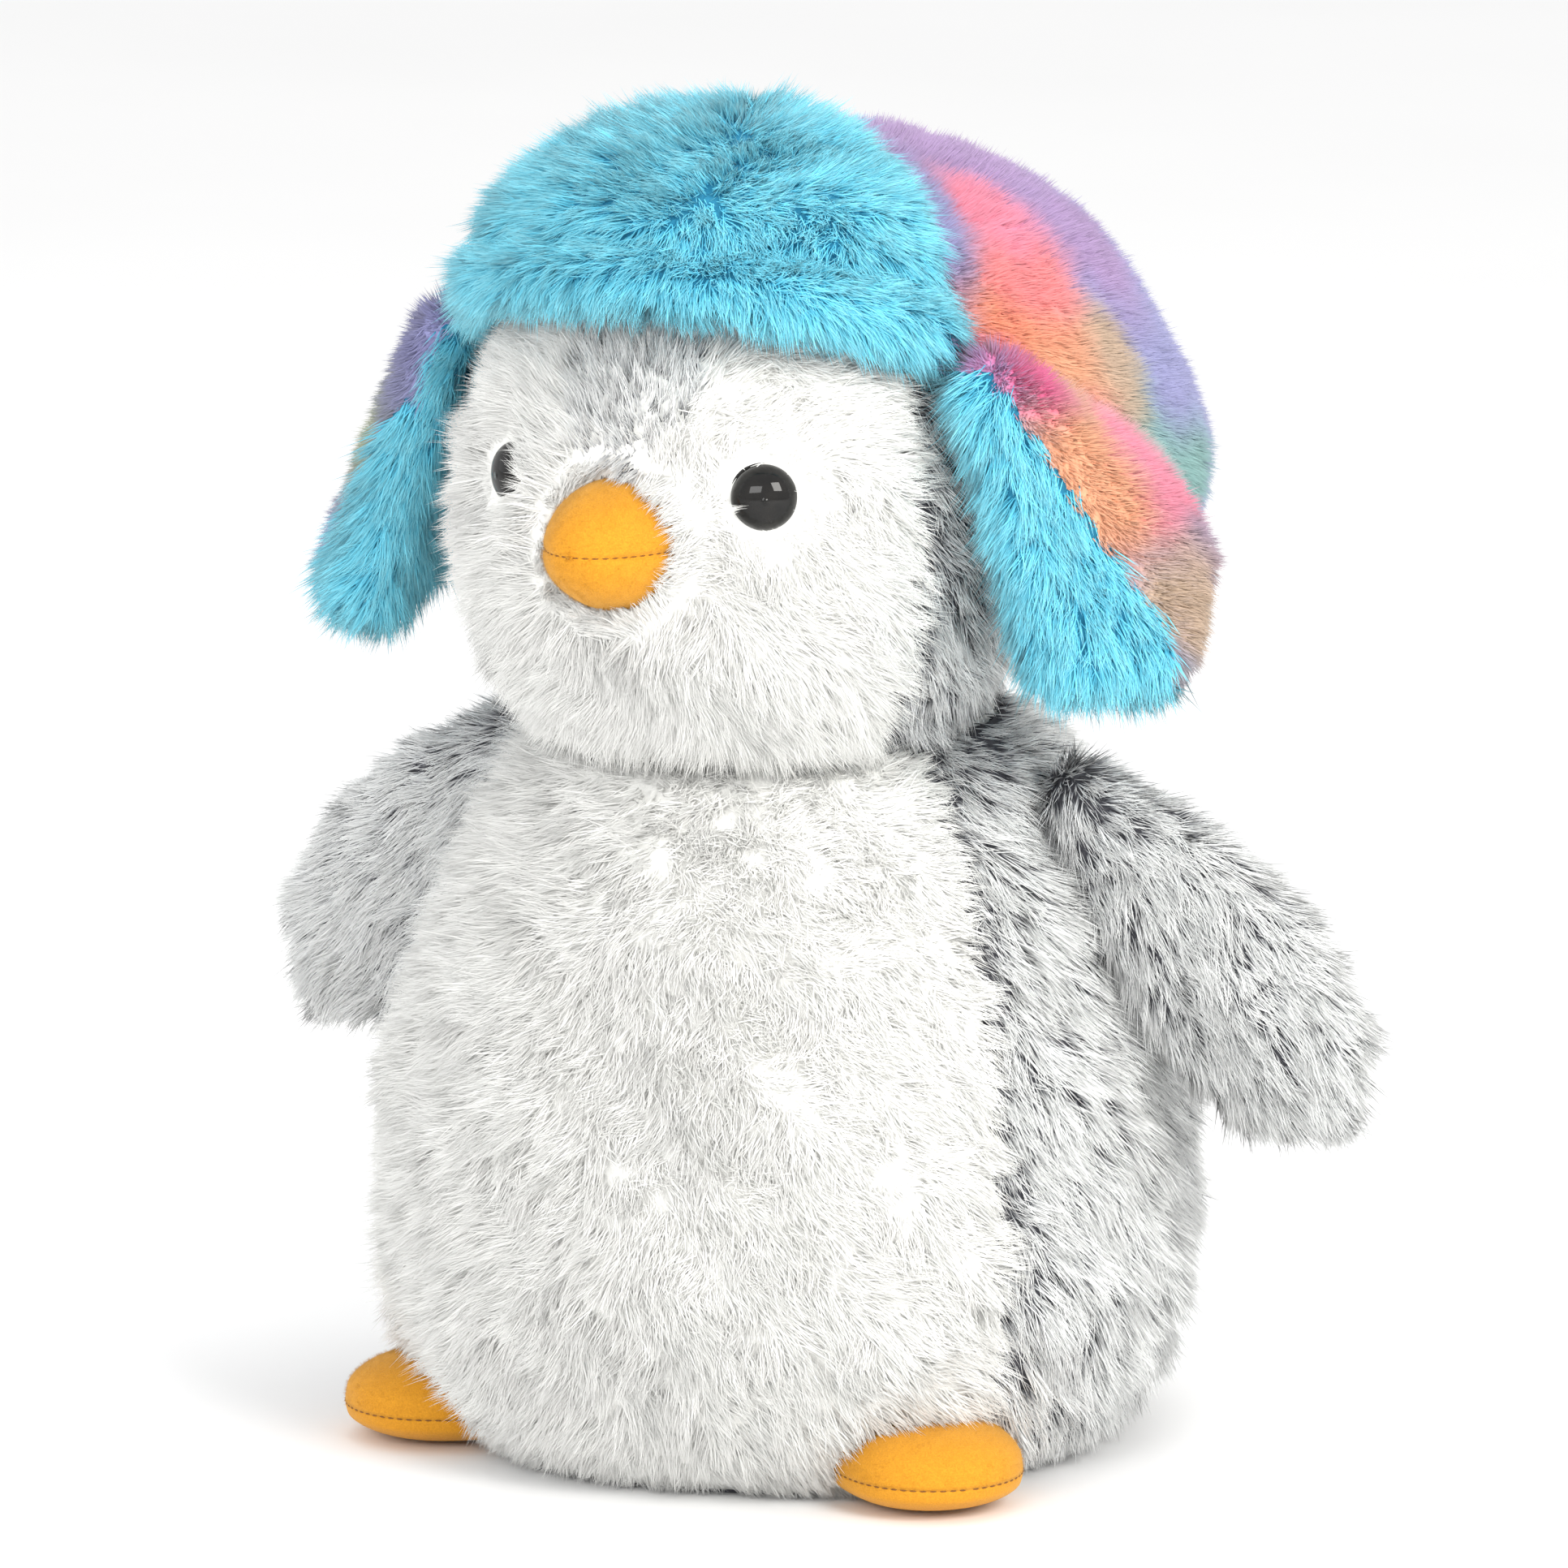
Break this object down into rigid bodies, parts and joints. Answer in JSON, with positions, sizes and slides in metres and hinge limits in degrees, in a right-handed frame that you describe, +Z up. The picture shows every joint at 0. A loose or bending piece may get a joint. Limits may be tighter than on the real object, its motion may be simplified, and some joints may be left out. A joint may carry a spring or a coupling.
{
  "type": "plush penguin",
  "caption": "Stuffed plush penguin toy in a fur trapper hat, sitting upright, with soft sewn-on flippers, feet and ear flaps.",
  "frame": {"origin": "centre of the box of the whole toy, on the flat underside of the body", "axes": "+Z up, the toy faces -Y, its left side is +X"},
  "size_m": [0.2628, 0.1859, 0.293],
  "materials": {
    "plush_white": "matte",
    "plush_grey": "matte",
    "plush_blue": "matte",
    "plush_rainbow": "matte",
    "felt_orange": "matte",
    "filling": "matte",
    "pouch_fabric": "matte",
    "eye_black": "gloss",
    "washer_white": "matte"
  },
  "bodies": {
    "torso": {"belly_panel": "plush_white", "back_panel_left": "plush_grey", "back_panel_right": "plush_grey", "base_panel": "plush_grey", "body_filling": "filling", "pellet_pouch": "pouch_fabric"},
    "head": {"face_panel": "plush_white", "forehead_stripe": "plush_grey", "head_back_left": "plush_grey", "head_back_right": "plush_grey", "head_filling": "filling", "eye_left": "eye_black", "eye_right": "eye_black", "eye_washer_left": "washer_white", "eye_washer_right": "washer_white", "beak_upper": "felt_orange", "beak_lower": "felt_orange", "beak_filling": "filling", "hat_brim": "plush_blue", "hat_brim_filling": "filling", "hat_crown_left": "plush_rainbow", "hat_crown_right": "plush_rainbow", "hat_filling": "filling"},
    "ear_flap_left": {"ear_flap_left_outer": "plush_rainbow", "ear_flap_left_lining": "plush_blue", "ear_flap_left_filling": "filling"},
    "flipper_left": {"flipper_left_front": "plush_grey", "flipper_left_back": "plush_grey", "flipper_left_filling": "filling"},
    "foot_left": {"foot_left_top": "felt_orange", "foot_left_sole": "felt_orange", "foot_left_filling": "filling"},
    "ear_flap_right": {"ear_flap_right_outer": "plush_rainbow", "ear_flap_right_lining": "plush_blue", "ear_flap_right_filling": "filling"},
    "flipper_right": {"flipper_right_front": "plush_grey", "flipper_right_back": "plush_grey", "flipper_right_filling": "filling"},
    "foot_right": {"foot_right_top": "felt_orange", "foot_right_sole": "felt_orange", "foot_right_filling": "filling"}
  },
  "joints": [
    {"name": "head_turn", "type": "hinge", "parent": "torso", "child": "head", "pos_m": [0, -0.01, 0.157], "axis": [0, 0, 1], "range_deg": [-12, 12], "stiffness_Nm_per_rad": 6},
    {"name": "ear_flap_left_fold", "type": "hinge", "parent": "head", "child": "ear_flap_left", "pos_m": [0.066, -0.033, 0.236], "axis": [-0.1347, -0.8662, 0.4812], "range_deg": [-1, 36], "stiffness_Nm_per_rad": 1.2},
    {"name": "ear_flap_right_fold", "type": "hinge", "parent": "head", "child": "ear_flap_right", "pos_m": [-0.066, -0.033, 0.236], "axis": [-0.1347, 0.8662, -0.4812], "range_deg": [-1, 36], "stiffness_Nm_per_rad": 1.2},
    {"name": "flipper_left_lift", "type": "hinge", "parent": "torso", "child": "flipper_left", "pos_m": [0.076, 0.002, 0.141], "axis": [0, -1, 0], "range_deg": [-3, 28], "stiffness_Nm_per_rad": 1.5},
    {"name": "flipper_right_lift", "type": "hinge", "parent": "torso", "child": "flipper_right", "pos_m": [-0.076, 0.002, 0.141], "axis": [0, 1, 0], "range_deg": [-3, 28], "stiffness_Nm_per_rad": 1.5},
    {"name": "foot_left_flex", "type": "hinge", "parent": "torso", "child": "foot_left", "pos_m": [0.04472, -0.0367, 0.0095], "axis": [-0.6018, -0.7986, 0], "range_deg": [-10, 10], "stiffness_Nm_per_rad": 4},
    {"name": "foot_right_flex", "type": "hinge", "parent": "torso", "child": "foot_right", "pos_m": [-0.04472, -0.0367, 0.0095], "axis": [-0.6018, 0.7986, 0], "range_deg": [-10, 10], "stiffness_Nm_per_rad": 4}
  ]
}
